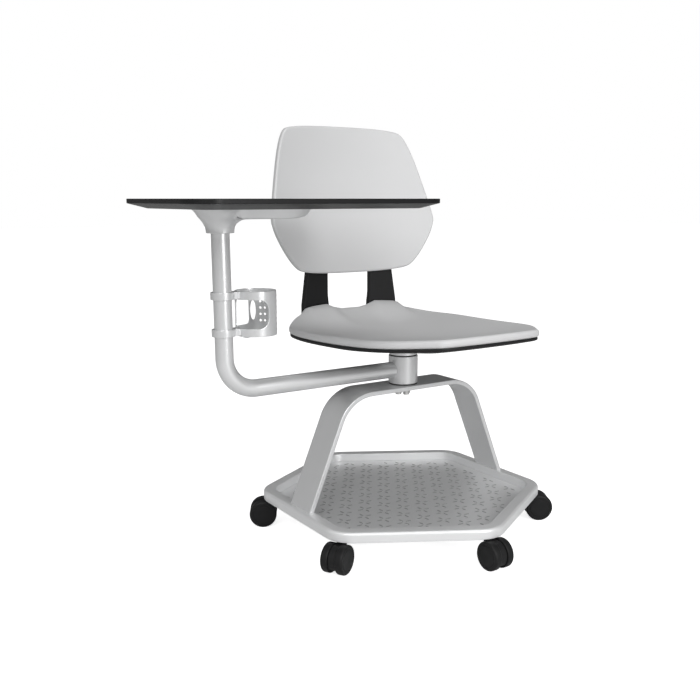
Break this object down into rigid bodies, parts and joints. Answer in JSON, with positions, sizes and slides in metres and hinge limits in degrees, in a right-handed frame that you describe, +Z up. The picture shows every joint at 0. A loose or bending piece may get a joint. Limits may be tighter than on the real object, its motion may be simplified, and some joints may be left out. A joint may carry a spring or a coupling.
{
  "type": "student desk chair",
  "caption": "Rolling student chair on a six-sided storage tray base, with a swivel seat, a reclined back, and a tablet desk and cup holder on a swinging tubular arm.",
  "frame": {"origin": "on the floor, on the axis of the swivel column", "axes": "+Z up along the swivel column; the sitter faces -Y, so the tablet arm is at -X on the sitter's right"},
  "size_m": [0.8944, 0.684, 0.878],
  "materials": {
    "silver_paint": "satin silver-grey powder coat",
    "cast_silver": "satin silver coat on cast aluminium",
    "tread_plate": "brushed aluminium sheet with raised grip bars",
    "zinc_steel": "zinc-plated steel",
    "black_steel": "satin black powder coat",
    "black_plastic": "moulded black nylon",
    "wheel_black": "black nylon wheel with a soft tread",
    "grey_shell": "moulded light grey polypropylene, fine satin grain",
    "black_laminate": "dark laminate on a board with a black edge"
  },
  "bodies": {
    "base": {"tray_rim": "cast_silver", "tray_floor": "tread_plate", "support_strap": "silver_paint", "column_spindle": "zinc_steel", "spindle_bolts": "zinc_steel", "spindle_nut": "zinc_steel", "thrust_washer": "black_plastic", "castor_sockets": "zinc_steel"},
    "seat": {"seat_hub": "silver_paint", "seat_plate": "black_steel", "plate_screws": "zinc_steel", "seat_pan": "black_plastic", "seat_pad": "grey_shell", "right_upright": "black_steel", "left_upright": "black_steel", "upright_screws": "zinc_steel", "back_shell": "grey_shell", "back_screws": "zinc_steel"},
    "arm": {"column_sleeve": "silver_paint", "lower_bush": "black_plastic", "upper_bush": "black_plastic", "arm_tube": "silver_paint", "post_plug": "black_plastic", "holder_clamps": "silver_paint", "clamp_screws": "zinc_steel", "cup_holder_cage": "silver_paint", "cup_holder_floor": "silver_paint"},
    "tablet": {"tablet_bracket": "silver_paint", "bracket_set_screws": "zinc_steel", "tablet_board": "black_laminate", "board_screws": "zinc_steel"},
    "castor_a": {"castor_a_stem": "zinc_steel", "castor_a_housing": "black_plastic"},
    "wheels_a": {"castor_a_axle": "zinc_steel", "castor_a_wheels": "wheel_black"},
    "castor_b": {"castor_b_stem": "zinc_steel", "castor_b_housing": "black_plastic"},
    "wheels_b": {"castor_b_axle": "zinc_steel", "castor_b_wheels": "wheel_black"},
    "castor_c": {"castor_c_stem": "zinc_steel", "castor_c_housing": "black_plastic"},
    "wheels_c": {"castor_c_axle": "zinc_steel", "castor_c_wheels": "wheel_black"},
    "castor_d": {"castor_d_stem": "zinc_steel", "castor_d_housing": "black_plastic"},
    "wheels_d": {"castor_d_axle": "zinc_steel", "castor_d_wheels": "wheel_black"},
    "castor_e": {"castor_e_stem": "zinc_steel", "castor_e_housing": "black_plastic"},
    "wheels_e": {"castor_e_axle": "zinc_steel", "castor_e_wheels": "wheel_black"},
    "castor_f": {"castor_f_stem": "zinc_steel", "castor_f_housing": "black_plastic"},
    "wheels_f": {"castor_f_axle": "zinc_steel", "castor_f_wheels": "wheel_black"}
  },
  "joints": [
    {"name": "seat_swivel", "type": "hinge", "parent": "base", "child": "seat", "pos_m": [0, 0, 0.39], "axis": [0, 0, 1], "continuous": true},
    {"name": "arm_swing", "type": "hinge", "parent": "seat", "child": "arm", "pos_m": [0, 0, 0.353], "axis": [0, 0, 1], "range_deg": [-20, 90]},
    {"name": "tablet_swivel", "type": "hinge", "parent": "arm", "child": "tablet", "pos_m": [-0.423, 0, 0.67], "axis": [0, 0, 1], "range_deg": [-90, 5]},
    {"name": "castor_a_swivel", "type": "hinge", "parent": "base", "child": "castor_a", "pos_m": [0.25288, 0.146, 0.07], "axis": [0, 0, 1], "continuous": true},
    {"name": "wheels_a_roll", "type": "hinge", "parent": "castor_a", "child": "wheels_a", "pos_m": [0.2702, 0.156, 0.03], "axis": [-0.5, 0.866, 0], "continuous": true},
    {"name": "castor_b_swivel", "type": "hinge", "parent": "base", "child": "castor_b", "pos_m": [0, 0.292, 0.07], "axis": [0, 0, 1], "continuous": true},
    {"name": "wheels_b_roll", "type": "hinge", "parent": "castor_b", "child": "wheels_b", "pos_m": [0, 0.312, 0.03], "axis": [-1, 0, 0], "continuous": true},
    {"name": "castor_c_swivel", "type": "hinge", "parent": "base", "child": "castor_c", "pos_m": [-0.25288, 0.146, 0.07], "axis": [0, 0, 1], "continuous": true},
    {"name": "wheels_c_roll", "type": "hinge", "parent": "castor_c", "child": "wheels_c", "pos_m": [-0.2702, 0.156, 0.03], "axis": [-0.5, -0.866, 0], "continuous": true},
    {"name": "castor_d_swivel", "type": "hinge", "parent": "base", "child": "castor_d", "pos_m": [-0.25288, -0.146, 0.07], "axis": [0, 0, 1], "continuous": true},
    {"name": "wheels_d_roll", "type": "hinge", "parent": "castor_d", "child": "wheels_d", "pos_m": [-0.2702, -0.156, 0.03], "axis": [0.5, -0.866, 0], "continuous": true},
    {"name": "castor_e_swivel", "type": "hinge", "parent": "base", "child": "castor_e", "pos_m": [0, -0.292, 0.07], "axis": [0, 0, 1], "continuous": true},
    {"name": "wheels_e_roll", "type": "hinge", "parent": "castor_e", "child": "wheels_e", "pos_m": [0, -0.312, 0.03], "axis": [1, 0, 0], "continuous": true},
    {"name": "castor_f_swivel", "type": "hinge", "parent": "base", "child": "castor_f", "pos_m": [0.25288, -0.146, 0.07], "axis": [0, 0, 1], "continuous": true},
    {"name": "wheels_f_roll", "type": "hinge", "parent": "castor_f", "child": "wheels_f", "pos_m": [0.2702, -0.156, 0.03], "axis": [0.5, 0.866, 0], "continuous": true}
  ]
}
